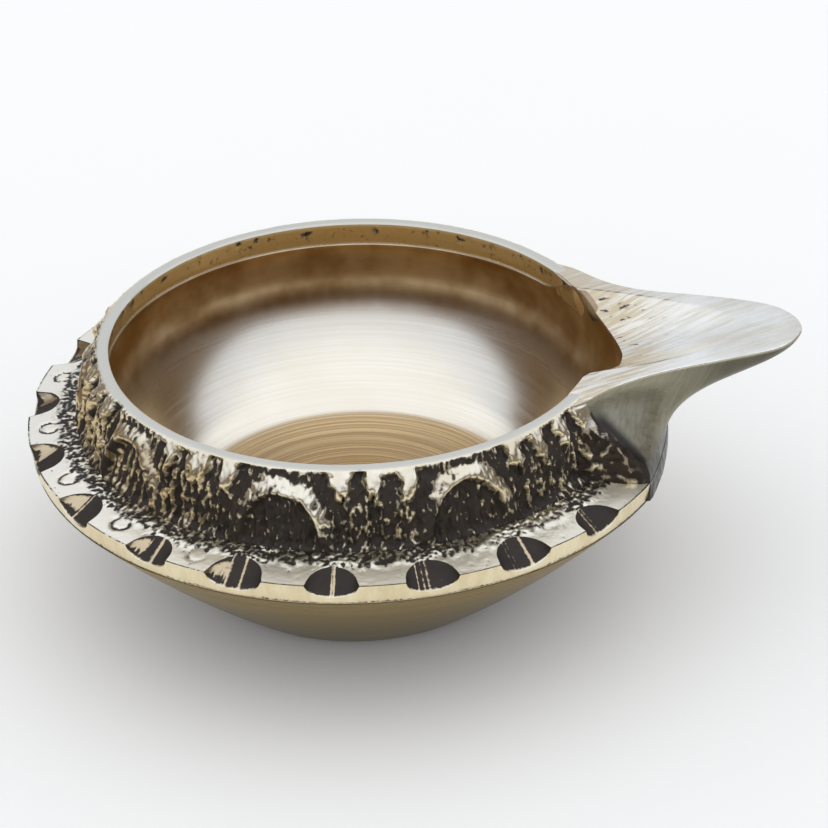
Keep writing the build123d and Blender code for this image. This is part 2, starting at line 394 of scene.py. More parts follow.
@lru_cache(maxsize=None)
def scallop_cut(turn):
    """Depth of the file's bite below the flange's edge at this turn."""
    offset, number = scallop_offset(turn)
    size = 1 + SCALLOP_CHANGE * sin(number * 2.4)
    if abs(offset) >= SCALLOP_HALF * size:
        return 0.0
    return FILE_BITE * size * (1 - (offset / (SCALLOP_HALF * size)) ** 2) ** SCALLOP_CURVE


def cut_ends(turn):
    """Radius where the cut leaves the ledge, and height where it leaves the outer edge."""
    bite = scallop_cut(turn)
    inward = bite / (cos(FILE_TILT) * (tan(FILE_TILT) - LEDGE_SLOPE))
    return flange_out(turn) - inward, LEDGE_OUT_TOP - bite / cos(FILE_TILT)


print("a full scallop reaches in to", round(cut_ends(SCALLOP_TURNS[3])[0], 2), "mm")

# %% [markdown]
# ## The carving on the collar
# The slope under the rim is carved with tall lotus petals and, between them, upright tongues.
# The tongues narrow as they go down, with a thin ridge along each flank and a split in the
# middle. The cast is coarse: the ridges are beaded, the grooves end in dark pits under the rim,
# and a rough roll runs along the foot. Round the left and the back it is also finely ribbed.
# Polishing has only reached the tops of the tongues and the hoods of the petals. The carving is
# a height above the slope, worked out from the turn and the distance below the rim. Height this
# coarse shows in the outline and in the reflections, so it is made as real relief and not as a
# bump.

# %% Petals
SLOPE_LENGTH = hypot(LEDGE_IN - RIM_OUT, RIM_TOP - LEDGE_IN_TOP)
SLOPE_MIDDLE = 27.3
PETAL_PITCH, PETAL_START = 38.3, 217.0
PETAL_HALF, PETAL_TALL, PETAL_CREST, PETAL_HOLLOW = 4.9, 7.0, 0.84, 0.70
CARVED_TURN = 47.0


def petal_reach(turn, up):
    """Distance across a petal, 0 at the middle of its foot and 1 at its outline, and the side."""
    away = (turn - PETAL_START + PETAL_PITCH / 2) % PETAL_PITCH - PETAL_PITCH / 2
    across = radians(away) * SLOPE_MIDDLE
    reach = sqrt((across / PETAL_HALF) ** 2 + (max(0.0, up) / PETAL_TALL) ** 2.2)
    return reach + ease(CARVED_TURN, CARVED_TURN - 3, from_spout(turn)), across


def petal_height(reach, up):
    """Raised hood of a petal: a ramp up from its outline, and a steep drop to its hollow."""
    crest = 0.25 + 0.65 * ease(0.2, 4.0, up)
    if reach > PETAL_CREST:
        return blend(0.05, crest, ease(1.12, PETAL_CREST, reach))
    return blend(crest, -0.5, ease(PETAL_CREST, PETAL_HOLLOW, reach))


print("a petal is", 2 * PETAL_HALF, "mm wide")

# %% Tongues and ridges
RIDGE_PITCH, RIDGE_WIDTH, RIDGE_HEIGHT = 3.5, 0.13, 0.4
GROOVE_DEPTH = 0.75


def tongue_height(turn, below, sway, coarse):
    """Height of the tongues, which swell out under the rim, with their grooves and thin ridges."""
    middle = (turn - PETAL_START) % PETAL_PITCH - PETAL_PITCH / 2
    phase = middle / RIDGE_PITCH + sway
    between, within = 2 * round((phase - 1) / 2) + 1, 2 * round(phase / 2)
    chance = noise.noise(Vector((between * 7.31 + round((turn - middle) / 9.7), 3.7, 1.9)))
    first = 0.1 + 0.6 * chance + 0.3 * coarse
    width = blend(0.58, 1.08, ease(0.6, 4.4 + 2 * chance, below)) * (1 + 0.3 * chance)
    groove = ease(width, width - 0.34, abs(phase - between)) * ease(first, first + 0.6, below)
    split = ease(0.42, 0.1, abs(phase - within)) * ease(2.4 + 2 * chance, 3.6 + 2 * chance, below)
    ridge = exp(-(((abs(phase - between) - 0.5) / RIDGE_WIDTH) ** 2)) * ease(2.6, 4.6, below)
    swell = 0.95 * sin(pi / 2 * clamp(below / 3.2)) - 0.75 * ease(3.0, 6.8, below)
    groove = max(groove, split)
    return swell - GROOVE_DEPTH * groove + RIDGE_HEIGHT * ridge, groove, ridge


tongue_out = tongue_height(PETAL_START + PETAL_PITCH / 2, 2.0, 0.0, 0.0)[0]
print("2 mm below the rim, half way between two petals, a tongue stands", round(tongue_out, 2), "mm out")

# %% Relief and polish of the slope
COARSE_SIZE, LUMP_SIZE, BEAD_SIZE, SWAY_SIZE = 2.6, 0.8, 0.3, 3.3
NEW_PATCH = 50
LEFT_STARTS, LEFT_FULL = 252, 226
LEFT_RIB_PITCH, HOLLOW_RIB_PITCH = 1.1, 1.25
DEEPEST, HIGHEST = -0.7, 1.0


def carving(turn, below):
    """Height of the carving above the slope, and how polished it is, from 0 to 1."""
    x, y = polar(SLOPE_MIDDLE, turn)
    up = SLOPE_LENGTH - below
    coarse = grain(x, y, below, COARSE_SIZE)
    lumps = grain(x + NEW_PATCH, y, below, LUMP_SIZE)
    beads = grain(x, y + NEW_PATCH, below * 0.5, BEAD_SIZE)
    ribbing = cos(2 * pi * (radians(turn) * SLOPE_MIDDLE / LEFT_RIB_PITCH + 0.5 * coarse + 0.2 * lumps))
    left = ease(LEFT_STARTS, LEFT_FULL, turn)
    sway = 0.36 * grain(x, y, below * 0.4, SWAY_SIZE) + 0.26 * lumps
    height, groove, ridge = tongue_height(turn, below, sway, coarse)
    # Each petal covers the tongues, with a plain moat round it and ribs in its hollow
    reach, across = petal_reach(turn, up + 0.5 * coarse)
    moat = ease(1.42, 1.2, reach) * ease(1.0, 1.12, reach) * ease(3.0, 5.0, up)
    height = blend(height, 0.08, moat)
    hood = ease(1.16, 1.02, reach)
    height = blend(height, petal_height(reach, up), hood)
    hollow = ease(PETAL_CREST, PETAL_HOLLOW + 0.04, reach)
    ribs = 0.5 + 0.5 * cos(2 * pi * (abs(across) / HOLLOW_RIB_PITCH + 0.5 * coarse))
    height += 0.26 * ribs * hollow * ease(6.0, 3.0, up)
    # The tops of the tongues and the hoods of the petals are worn bright
    worn = ease(3.9, 2.3, below + 1.2 * coarse) * (1 - groove) * (1 - moat) * (1 - hood)
    legs = ease(1.0, 3.4, up) if across > 0 else ease(3.6, 5.4, up)
    worn = max(worn, ease(1.1, 1.0, reach) * (1 - hollow) * legs * (0.75 + 0.25 * lumps))
    # The cast is rough, least where it is worn and most in the roll along the foot
    height += 0.24 * left * ribbing * (1 - hood) * ease(0.8, 2.4, below)
    rough = 0.13 * lumps + 0.19 * beads
    height += rough * (1 - 0.6 * worn)
    foot = ease(1.0, 0.2, up)
    height = blend(height, 0.02 + 0.2 * lumps + 0.16 * beads, foot)
    height *= ease(0.0, 0.3, below)
    # Elsewhere the patina is broken by the beads, and it is deepest in the grooves and moats
    dull = 0.40 + left * (0.18 + 0.4 * ribbing) + 0.75 * beads + 0.4 * lumps
    dull = dull + 0.4 * ridge * (1 - hood) - 0.34 * groove - 0.08 * hollow * (1 - left)
    dull -= 0.22 * moat
    polish = blend(dull, 1.0 + 0.45 * beads + 0.2 * lumps - 0.25 * left, worn)
    polish = blend(clamp(polish), 1.0, ease(0.3, 0.0, below))
    return clamp(height, DEEPEST, HIGHEST), polish


print("carving at a petal's middle:", [round(value, 2) for value in carving(PETAL_START, 4.0)])

# %% [markdown]
# ## The collar
# The collar is one closed ring. Going round its section there is the inner face under the rim,
# the ground rim, the carved slope, the ledge, the scallop, the outer edge and the seat on the
# bowl. The rows are shared out among these zones. The columns are closest together on the
# front, where the carving is seen from nearby, and far apart under the spout.

# %% Collar rows and columns
ZONES = [("inner", 6), ("rim", 7), ("slope", 62), ("ledge", 21), ("scoop", 8), ("edge", 4), ("seat", 2)]
COLLAR_ROWS = [(zone, step / count) for zone, count in ZONES for step in range(count)]
COLUMN_RUNS = [(-24.0, 24.0, 40), (24.0, 182.0, 250), (182.0, 336.0, 610)]
COLLAR_COLUMNS = sum(count for _, _, count in COLUMN_RUNS)


def collar_turn(column):
    """Turn of a column, counted through the runs."""
    for start, end, count in COLUMN_RUNS:
        if column < count:
            return blend(start, end, column / count)
        column -= count


print(len(COLLAR_ROWS), "rows and", COLLAR_COLUMNS, "columns")

# %% Rim and slope
RIM_ROUND = 0.14
RIM_SUNK, SUNK_STARTS, SUNK_FULL = 0.12, 31.5, 28.5
INNER_LEAN = 0.3
SLOPE_STARTS = 0.12


def inner_face(share, turn):
    """Radius, height and polish on the pitted face between the bowl's lip and the rim."""
    x, y = polar(RIM_IN, turn)
    height = blend(CEILING, RIM_TOP - RIM_ROUND, share)
    pits = max(0.0, grain(x, y, height * 1.6, 0.9) - 0.2) * ease(24.6, 25.8, height)
    pits += 0.3 * max(0.0, grain(x, y, height * 0.5, 0.45) - 0.1)
    return blend(RIM_IN + INNER_LEAN, RIM_IN, share) + 0.3 * pits, height, clamp(0.8 - 1.5 * pits)


def rim_face(share, turn):
    """Radius, height and polish on the ground rim, which sinks out of sight under the spout."""
    x, y = polar(RIM_IN, turn)
    inner = RIM_IN + 0.07 * grain(x, y, 0, 7.0)
    outer = RIM_OUT + 0.05 * grain(x, y, 9, 3.0)
    drop = RIM_ROUND * (ease(0.16, 0.0, share) + ease(0.84, 1.0, share))
    sunk = RIM_SUNK * ease(SUNK_STARTS, SUNK_FULL, from_spout(turn))
    drop += 0.012 * (1 + grain(x, y, share * 2, 2.5)) + sunk
    return blend(inner, outer, share), RIM_TOP - drop, 1.0


def slope_face(share, turn):
    """Radius, height and polish on the carved slope."""
    below = SLOPE_STARTS + share * (SLOPE_LENGTH - SLOPE_STARTS)
    height, polish = carving(turn, below)
    lean = (LEDGE_IN - RIM_OUT) / SLOPE_LENGTH
    drop = (RIM_TOP - LEDGE_IN_TOP) / SLOPE_LENGTH
    return RIM_OUT + below * lean + height * drop, RIM_TOP - below * drop + height * lean, polish


print("the slope starts", [round(value, 2) for value in slope_face(0.0, PETAL_START)])

# %% Ledge
STAMP_RADIUS, STAMP_RING = 31.3, 0.95


def stamp_distance(radius, turn):
    """Distance to the ring that is stamped in the middle between two scallops."""
    offset, number = scallop_offset(turn)
    other = SCALLOP_TURNS[(number + (1 if offset > 0 else -1)) % len(SCALLOP_TURNS)]
    middle = SCALLOP_TURNS[number] + ((other - SCALLOP_TURNS[number] + 180) % 360 - 180) / 2
    across = radians((turn - middle + 180) % 360 - 180) * radius
    return abs(hypot(across, radius - STAMP_RADIUS) - STAMP_RING)


def ledge_face(share, turn):
    """Radius, height and polish on the ledge: rough beside the slope, then stamped and pitted."""
    end, _ = cut_ends(turn)
    radius = blend(LEDGE_IN, end, share)
    x, y = polar(radius, turn)
    height = LEDGE_IN_TOP - (radius - LEDGE_IN) * LEDGE_SLOPE
    lumps, beads = grain(x, y, 4, 0.8), grain(x, y, 6, 0.4)
    rough = ease(2.6, 1.5, radius - LEDGE_IN + 0.7 * grain(x, y, 0, 1.8) + 0.4 * beads)
    pits = max(0.0, grain(x, y, 8, 0.5) - 0.28) + 0.6 * max(0.0, grain(x, y, 12, 1.3) - 0.42)
    lift = rough * (0.12 + 0.16 * lumps + 0.16 * beads) - 0.1 * pits
    # The stamped rings have been rubbed away on the front
    kept = 1 - ease(236, 246, turn) * ease(322, 315, turn)
    groove = kept * ease(0.30, 0.05, stamp_distance(radius, turn) + 0.12 * lumps) * ease(0.5, 0.2, rough)
    lift -= 0.16 * groove
    bright = 0.3 * ease(288, 296, turn) * ease(316, 310, turn)
    polish = blend(1.0, 0.36 + 0.8 * beads + 0.5 * lumps + bright, rough) - 1.2 * pits - 0.8 * groove
    return radius, height + min(0.3, lift), clamp(polish)


print("the ledge ends", [round(value, 2) for value in ledge_face(1.0, SCALLOP_TURNS[3])])

# %% Scoop, edge and seat
SEAT_IN, SEAT_GAP = 28.0, 0.12
STREAK_COUNT = 3


def scoop_streaks(offset, number, share, turn):
    """Bright lines that the file left down a dark scoop, with a pale patch on the left ones."""
    lines = 0.0
    for line in range(STREAK_COUNT):
        place = 2.0 * noise.noise(Vector((number * 3.7 + 0.4, line * 2.9 + 0.3, 0.5))) - 0.35
        strength = 0.75 + 1.1 * noise.noise(Vector((number * 1.9 + 0.6, line * 4.3 + 0.2, 8.5)))
        width = 0.06 + 0.04 * line
        lines = max(lines, strength * exp(-(((offset - place) / width) ** 2)))
    fine = noise.noise(Vector((offset / 0.2, number * 3.1, share * 0.8)))
    patch = ease(-0.7, -1.2, offset + 0.5 * fine) * ease(0.05, 0.2, share)
    patch *= ease(0.85, 0.5, share + 0.3 * fine)
    bright = max(lines + 0.3 * fine * lines, patch * ease(262, 240, turn))
    return clamp(bright + 0.9 * max(0.0, fine - 0.3) * share)


def scoop_face(share, turn):
    """Radius, height and polish down the file's cut."""
    start, foot = cut_ends(turn)
    start_height = LEDGE_OUT_TOP + (flange_out(turn) - start) * LEDGE_SLOPE
    end = flange_out(turn) - (LEDGE_OUT_TOP - foot) * EDGE_TAPER
    offset, number = scallop_offset(turn)
    streaks = scoop_streaks(offset, number, share, turn)
    return blend(start, end, share), blend(start_height, foot, share), streaks


def edge_face(share, turn):
    """Radius, height and polish on what the file left of the outer edge."""
    _, top = cut_ends(turn)
    height = blend(top, EDGE_FOOT_TOP, share)
    x, y = polar(LEDGE_OUT, turn)
    rounding = 0.1 * ease(0.75, 1.0, share)
    radius = flange_out(turn) - (LEDGE_OUT_TOP - height) * EDGE_TAPER - rounding
    return radius - 0.02 * (1 + grain(x, y, height, 1.5)), height, 0.9


def seat_face(share, turn):
    """Radius, height and polish on the seat: one row at its outer end and one at its inner end."""
    outer = flange_out(turn) - LEDGE_OUT + EDGE_FOOT - SEAT_GAP
    return (outer if share < 0.25 else SEAT_IN), EDGE_FOOT_TOP, 0.4


print("the seat runs from", SEAT_IN, "to", round(seat_face(0.0, 180.0)[0], 2), "mm")

# %% Collar mesh
MOUTH_OPENS = 0.12
CLEAR_OUT, CLEAR_DOWN, ROW_APART = 0.5, 0.35, 0.004
FACES = {
    "inner": inner_face,
    "rim": rim_face,
    "slope": slope_face,
    "ledge": ledge_face,
    "scoop": scoop_face,
    "edge": edge_face,
    "seat": seat_face,
}


def collar_brown_and_reflection(zone, share, turn):
    """Brown painted on the inner face and the scoops, and as a painted reflection on the slope's left and
    back.
    """
    if zone == "inner":
        return 1.0
    if zone == "scoop":
        return 0.8 * ease(0.0, 0.1, scallop_cut(turn))
    if zone == "slope":
        return 0.7 * ease(256, 226, turn) * ease(0.1, 0.3, share)
    return 0.0


def collar_ground(zone, share):
    """How freshly ground the metal is: the rim, and the ledge away from the slope."""
    if zone == "rim":
        return 0.6
    if zone == "ledge":
        return ease(0.2, 0.42, share)
    return 0.0


ring = tube_blank(len(COLLAR_ROWS), COLLAR_COLUMNS, full=True)
# Each point's colour: polish, brown that is partly a painted reflection, and how ground it is
finish_and_painted_light_layer = ring.verts.layers.float_color.new("finish")
for vert in ring.verts:
    row, column = blank_place(vert.co, len(COLLAR_ROWS), COLLAR_COLUMNS, full=True)
    zone, share = COLLAR_ROWS[row]
    turn = collar_turn(column)
    radius, height, polish = FACES[zone](share, turn)
    if zone in ("inner", "rim", "slope"):
        edge_radius, edge_height = mouth_edge(turn)
        opening = ease(0.0, MOUTH_OPENS, mouth_share(turn))
        radius = max(radius, edge_radius + (CLEAR_OUT + ROW_APART * row) * opening)
        height = min(height, edge_height - (CLEAR_DOWN + ROW_APART * row) * opening)
    vert[finish_and_painted_light_layer] = (polish, collar_brown_and_reflection(zone, share, turn), collar_ground(zone, share), 1.0)
    vert.co = (*polar(radius * MM, turn), height * MM)
collar = finish_piece("carved_collar", ring, ["collar"], sharp=38)

# %% [markdown]
# ## The spout
# The spout is a horn: at the flange it follows the filed front, and it rises, narrows and runs
# out to a long tongue level with the rim. Its blank is half a turn of tube, bent so that the
# columns run from one root round the nose to the other root. Each column goes from the mouth
# over the top to the tongue's edge, down the flank, over the flange's edge and back under the
# collar. Beside each root the flank turns back into the slope, and the carving runs on to it.

# %% Spout outlines
def spline(knots, count):
    """Even points on a smooth curve through knots, with free ends."""
    spans = [hypot(b[0] - a[0], b[1] - a[1]) for a, b in zip(knots, knots[1:])]
    places = [0.0]
    for span in spans:
        places.append(places[-1] + span)
    curves = []
    for axis in (0, 1):
        values = [knot[axis] for knot in knots]
        bends = [0.0] * len(knots)
        lower, target = [0.0], [0.0]
        for i in range(1, len(knots) - 1):
            slope_change = (values[i + 1] - values[i]) / spans[i] - (values[i] - values[i - 1]) / spans[i - 1]
            pivot = 2 * (spans[i - 1] + spans[i]) - spans[i - 1] * lower[-1]
            lower.append(spans[i] / pivot)
            target.append((6 * slope_change - spans[i - 1] * target[-1]) / pivot)
        for i in range(len(knots) - 2, 0, -1):
            bends[i] = target[i] - lower[i] * bends[i + 1]
        curves.append((values, bends))
    points = []
    for step in range(count):
        place = places[-1] * step / (count - 1)
        i = min(len(spans) - 1, sum(1 for mark in places[1:-1] if mark <= place))
        a, b = (places[i + 1] - place) / spans[i], (place - places[i]) / spans[i]
        point = []
        for values, bends in curves:
            bow = ((a**3 - a) * bends[i] + (b**3 - b) * bends[i + 1]) * spans[i] ** 2 / 6
            point.append(a * values[i] + b * values[i + 1] + bow)
        points.append(tuple(point))
    return points


ROOT_TURN, ROOT_RADIUS, FOOT_HALF, FOOT_INSET = 30.5, 27.0, 16.4, 0.15
near_edge = [(26.9, -10.9), (30.6, -8.95), (35.1, -7.35), (40.5, -5.6), (43.7, -4.0)]
nose = (45.68, 0.0)
far_edge = [(43.7, 3.9), (40.5, 5.5), (35.0, 7.05), (30.7, 8.1), (27.0, 9.9)]
tongue_knots = [polar(ROOT_RADIUS, -ROOT_TURN), *near_edge, nose, *far_edge, polar(ROOT_RADIUS, ROOT_TURN)]
FLANK_COLUMNS, BLEND_COLUMNS = 180, 36
TONGUE = spline(tongue_knots, FLANK_COLUMNS)
foot_sides = [blend(-FOOT_HALF, FOOT_HALF, i / (FLANK_COLUMNS - 1)) for i in range(FLANK_COLUMNS)]
FOOT = [(FRONT_CENTRE + sqrt(FRONT_ROUND**2 - y * y) - FOOT_INSET, y) for y in foot_sides]
print("tongue ends at", [round(max(point[0] for point in TONGUE), 2), RIM_TOP])

# %% Spout shape
CAP_ROWS, LIP_ROWS, FLANK_ROWS, APRON_ROWS = 26, 5, 48, 5
FLANGE_DROP = RIM_TOP - LEDGE_OUT_TOP
SPOUT_ROWS = [("wall", 0.0)] + [("cap", i / (CAP_ROWS - 1)) for i in range(CAP_ROWS)]
SPOUT_ROWS += [("lip", (i + 1) / LIP_ROWS) for i in range(LIP_ROWS)]
SPOUT_ROWS += [("flank", (i + 1) / FLANK_ROWS) for i in range(FLANK_ROWS)]
SPOUT_ROWS += [("apron", (i + 1) / APRON_ROWS) for i in range(APRON_ROWS)]
SPOUT_ROWS += [("under", 0.0), ("under", 1.0)]
SPOUT_COLUMNS = FLANK_COLUMNS + 2 * BLEND_COLUMNS
EDGE_ROUND, EDGE_DROP, BLEND_TURN = 0.3, 0.22, 9.0
WAIST_POWER, SLOPE_TUCK = 1.3, 0.55
CAP_GAP, APRON_GAP, APRON_END = 0.02, 0.03, 0.05


def column_place(column):
    """Nearest column of the flank, and how far into the blend beside the root, from 0 to 1."""
    flank = column - BLEND_COLUMNS
    inside = min(max(flank, 0), FLANK_COLUMNS - 1)
    return inside, abs(flank - inside) / BLEND_COLUMNS


def horn_point(column, level):
    """Place on the horn's flank, with the blend back to the collar's slope beside each root."""
    share = ((1 + cos(pi * clamp(level))) / 2) ** WAIST_POWER
    inside, away = column_place(column)
    x = blend(FOOT[inside][0], TONGUE[inside][0], share)
    y = blend(FOOT[inside][1], TONGUE[inside][1], share)
    if away > 0:
        side = -1 if y < 0 else 1
        far = blend(RIM_OUT, LEDGE_IN, level) - SLOPE_TUCK
        radius, turn = hypot(x, y), degrees(atan2(y, x))
        back = ease(-0.25, 1.0, away) * 1.1 - 0.1
        x, y = polar(blend(radius, far, back), turn + side * BLEND_TURN * away)
    return x, y


def cap_start(column):
    """Inner edge of the spout's top: along the rim's inner edge and along the mouth."""
    inside, away = column_place(column)
    turn = blend(-ROOT_TURN, ROOT_TURN, inside / (FLANK_COLUMNS - 1))
    turn += (1 if turn > 0 else -1) * BLEND_TURN * away
    radius, _ = mouth_edge(turn)
    return (*polar(radius + CAP_GAP, turn), turn)


def top_height(x, y, turn):
    """Height of the spout's top, which sinks out of sight under the rim beside its roots."""
    sunk = RIM_SUNK * ease(SUNK_FULL, SUNK_STARTS, from_spout(turn))
    return channel_top(x, y) - 0.015 * (1 + grain(x, y, 0, 4.0)) - sunk


def apron_point(column, share):
    """Place below the flank's foot, where the flange's edge is filed in one with the spout."""
    x, y = horn_point(column, 1.0)
    turn = degrees(atan2(y, x))
    limit = min(LEDGE_OUT, front_limit(turn)) - APRON_GAP
    _, away = column_place(column)
    radius = blend(hypot(x, y), limit, ease(0.0, 0.5, share)) if away == 0 else hypot(x, y)
    return (*polar(radius, turn), blend(LEDGE_OUT_TOP, EDGE_FOOT_TOP + APRON_END, share))


mouth_top = top_height(*cap_start(SPOUT_COLUMNS // 2))
print("the spout's top in the middle of the mouth:", round(mouth_top, 2), "mm")

# %% Spout top
WALL_BEHIND, WALL_LEAST, WALL_ABOVE = 0.3, 25.6, 0.3
LEAST_SPAN, MOST_INSET = 0.001, 0.45


def top_span(column):
    """Both ends of a column's run over the top, its turn, and the share that is rounded off."""
    start_x, start_y, turn = cap_start(column)
    edge_x, edge_y = horn_point(column, 0.0)
    length = max(LEAST_SPAN, hypot(edge_x - start_x, edge_y - start_y))
    return (start_x, start_y), (edge_x, edge_y), turn, min(MOST_INSET, EDGE_ROUND / length)


def wall_zone(share, column):
    """Place and finish, painted in full shade, of the row that goes down behind the mouth's edge."""
    turn = cap_start(column)[2]
    x, y = polar(max(mouth_edge(turn)[0] + WALL_BEHIND, WALL_LEAST), turn)
    return (x, y, CEILING + WALL_ABOVE), (1.0, 1.0, 0.0)


def cap_zone(share, column):
    """Place and finish on the top, with its channel."""
    start, edge, turn, inset = top_span(column)
    x = blend(start[0], edge[0], share * (1 - inset))
    y = blend(start[1], edge[1], share * (1 - inset))
    return (x, y, top_height(x, y, turn)), (1.0, 0.0, 1.0)


def lip_zone(share, column):
    """Place and finish on the rounded edge between the top and the flank."""
    start, edge, turn, inset = top_span(column)
    bend = share * pi / 2
    x = blend(start[0], edge[0], 1 - inset * (1 - sin(bend)))
    y = blend(start[1], edge[1], 1 - inset * (1 - sin(bend)))
    z = top_height(x, y, turn) - EDGE_DROP * (1 - cos(bend))
    return (x, y, z), (1.0, 0.0, ease(1.0, 0.55, share))


print("a column's middle on the top:", [round(value, 2) for value in cap_zone(0.5, SPOUT_COLUMNS // 2)[0]])

# %% Spout flank and foot
UNDER_IN, UNDER_ABOVE = 28.2, 0.04
CARVED_STARTS, RELIEF_KEPT, RELIEF_MOST = 0.12, 0.8, 0.3


def flank_zone(share, column):
    """Place and finish on the flank, with the slope's carving in the blend beside each root."""
    level = blend(EDGE_DROP / FLANGE_DROP, 1.0, share)
    x, y = horn_point(column, level)
    inside, away = column_place(column)
    from_root = min(inside, FLANK_COLUMNS - 1 - inside) / FLANK_COLUMNS
    # Painted shade: darker towards the flange, beside the roots and towards the tip
    shaded = max(ease(0.55, 0.95, level), ease(0.03, 0.0, from_root) * ease(0.05, 0.3, level))
    shaded = max(shaded, 0.6 * ease(29.0, 40.0, x))
    polish = 1.0
    if away > 0:
        carved = ease(0.0, CARVED_STARTS, away)
        turn = degrees(atan2(y, x)) % 360
        relief, carved_polish = carving(turn, clamp(level * 1.04) * SLOPE_LENGTH)
        pull = 1 + carved * RELIEF_KEPT * min(relief, RELIEF_MOST) / hypot(x, y)
        x, y = x * pull, y * pull
        polish = blend(polish, carved_polish, carved)
    return (x, y, RIM_TOP - FLANGE_DROP * level), (polish, shaded, ease(0.05, 0.25, away))


def apron_zone(share, column):
    """Place below the flank's foot, and its finish, painted in full shade."""
    return apron_point(column, share), (1.0, 1.0, 0.0)


def under_zone(share, column):
    """Place and finish, painted in full shade, of the two rows that close the spout below."""
    x, y, _ = apron_point(column, 1.0)
    scale = 1.0 if share == 0 else min(1.0, UNDER_IN / hypot(x, y))
    return (x * scale, y * scale, EDGE_FOOT_TOP + UNDER_ABOVE), (1.0, 1.0, 0.0)


nose_foot = under_zone(0.0, SPOUT_COLUMNS // 2)[0]
print("the spout's foot under its nose:", [round(value, 2) for value in nose_foot])

# %% Spout mesh
SPOUT_ZONES = {
    "wall": wall_zone,
    "cap": cap_zone,
    "lip": lip_zone,
    "flank": flank_zone,
    "apron": apron_zone,
    "under": under_zone,
}
horn = tube_blank(len(SPOUT_ROWS), SPOUT_COLUMNS, full=False)
# Each point's colour: polish, painted shade, and how much it belongs to the top
finish_and_painted_light_layer = horn.verts.layers.float_color.new("finish")
for vert in horn.verts:
    row, column = blank_place(vert.co, len(SPOUT_ROWS), SPOUT_COLUMNS, full=False)
    zone, share = SPOUT_ROWS[row]
    (x, y, z), finish = SPOUT_ZONES[zone](share, column)
    vert[finish_and_painted_light_layer] = (*finish, 1.0)
    vert.co = (x * MM, y * MM, z * MM)
end_loops = [edge for edge in horn.edges if edge.is_boundary]
bmesh.ops.holes_fill(horn, edges=end_loops, sides=0)
spout = finish_piece("wick_spout", horn, ["spout"], sharp=62)

# %% [markdown]
# ### The film of braze under the spout
# The spout's back is brazed to the slope with a thin saddle of braze. It is a sheet, bent to
# the slope and given its thickness, and it stays hidden behind the spout.

# %% Saddle film
SADDLE_TURN, SADDLE_LOW, SADDLE_HIGH = 56.0, 16.6, 22.4
SADDLE_OUT, SADDLE_THICK = 0.8, 0.12
SLOPE_LEAN = (LEDGE_IN - RIM_OUT) / (RIM_TOP - LEDGE_IN_TOP)
saddle = bmesh.new()
bmesh.ops.create_grid(saddle, x_segments=40, y_segments=8, size=0.5)
for vert in saddle.verts:
    turn, height = vert.co.x * SADDLE_TURN, blend(SADDLE_LOW, SADDLE_HIGH, vert.co.y + 0.5)
    radius = RIM_OUT + SADDLE_OUT + (RIM_TOP - height) * SLOPE_LEAN
    vert.co = (*polar(radius * MM, turn), height * MM)
bmesh.ops.solidify(saddle, geom=saddle.faces[:], thickness=SADDLE_THICK * MM)
saddle_film = finish_piece("saddle_film", saddle, ["spout_braze"], sharp=30)

# %% [markdown]
# ## Finishes
# All the metal is brass, but each piece was worked in its own way. One node group gives the
# tone that they share, a slow drift of colour with fine marks. It is fed with stretched
# coordinates, so the same marks can run round the bowl or along the spout. A second group
# gives the dark patina that clings to the carving and beside the spout's roots, and breaks its
# border with a fine speckle. Each material adds its own lathe rings or file lines.

# %% Node helpers
COLOUR_A, COLOUR_B, COLOUR_OUT = 6, 7, 2


def add(tree, kind, **inputs):
    """New node with its inputs set by name; a socket is linked, a plain value is written."""
    node = tree.nodes.new(kind)
    for name, value in inputs.items():
        feed(tree, value, node.inputs[name.replace("_", " ")])
    return node


def feed(tree, value, socket):
    """Link a socket to another, or write a plain value in it."""
    if isinstance(value, bpy.types.NodeSocket):
        tree.links.new(value, socket)
    else:
        socket.default_value = value


def math(tree, operation, first, second=0.0):
    """Result of one operation on two values."""
    node = tree.nodes.new("ShaderNodeMath")
    node.operation = operation
    feed(tree, first, node.inputs[0])
    feed(tree, second, node.inputs[1])
    return node.outputs[0]


def mix(tree, share, first, second):
    """Colour between two. The node has sockets for each kind of data, so these go by number."""
    node = tree.nodes.new("ShaderNodeMix")
    node.data_type = "RGBA"
    feed(tree, share, node.inputs["Factor"])
    feed(tree, first, node.inputs[COLOUR_A])
    feed(tree, second, node.inputs[COLOUR_B])
    return node.outputs[COLOUR_OUT]


def ramp(tree, value, low, high, start=0.0, end=1.0):
    """Soft range: value from low to high becomes start to end."""
    node = tree.nodes.new("ShaderNodeMapRange")
    node.interpolation_type = "SMOOTHSTEP"
    feed(tree, value, node.inputs["Value"])
    for name, number in zip(("From Min", "From Max", "To Min", "To Max"), (low, high, start, end)):
        node.inputs[name].default_value = number
    return node.outputs["Result"]


def mottle(tree, vector, scale, detail=3.0, roughness=0.55):
    """Soft chance pattern, from 0 to 1."""
    node = add(tree, "ShaderNodeTexNoise", Vector=vector, Scale=scale, Detail=detail, Roughness=roughness)
    return node.outputs["Fac"]


def stretched(tree, vector, scale, turn=(0, 0, 0)):
    """Coordinates turned first and then scaled, so that marks run along the turned axis."""
    turned = add(tree, "ShaderNodeMapping", Vector=vector, Rotation=turn).outputs["Vector"]
    return add(tree, "ShaderNodeMapping", Vector=turned, Scale=scale).outputs["Vector"]


def worked(tree):
    """The colour that each point carries, as its three parts."""
    finish = tree.nodes.new("ShaderNodeAttribute")
    finish.attribute_name = "finish"
    return add(tree, "ShaderNodeSeparateColor", Color=finish.outputs["Color"]).outputs


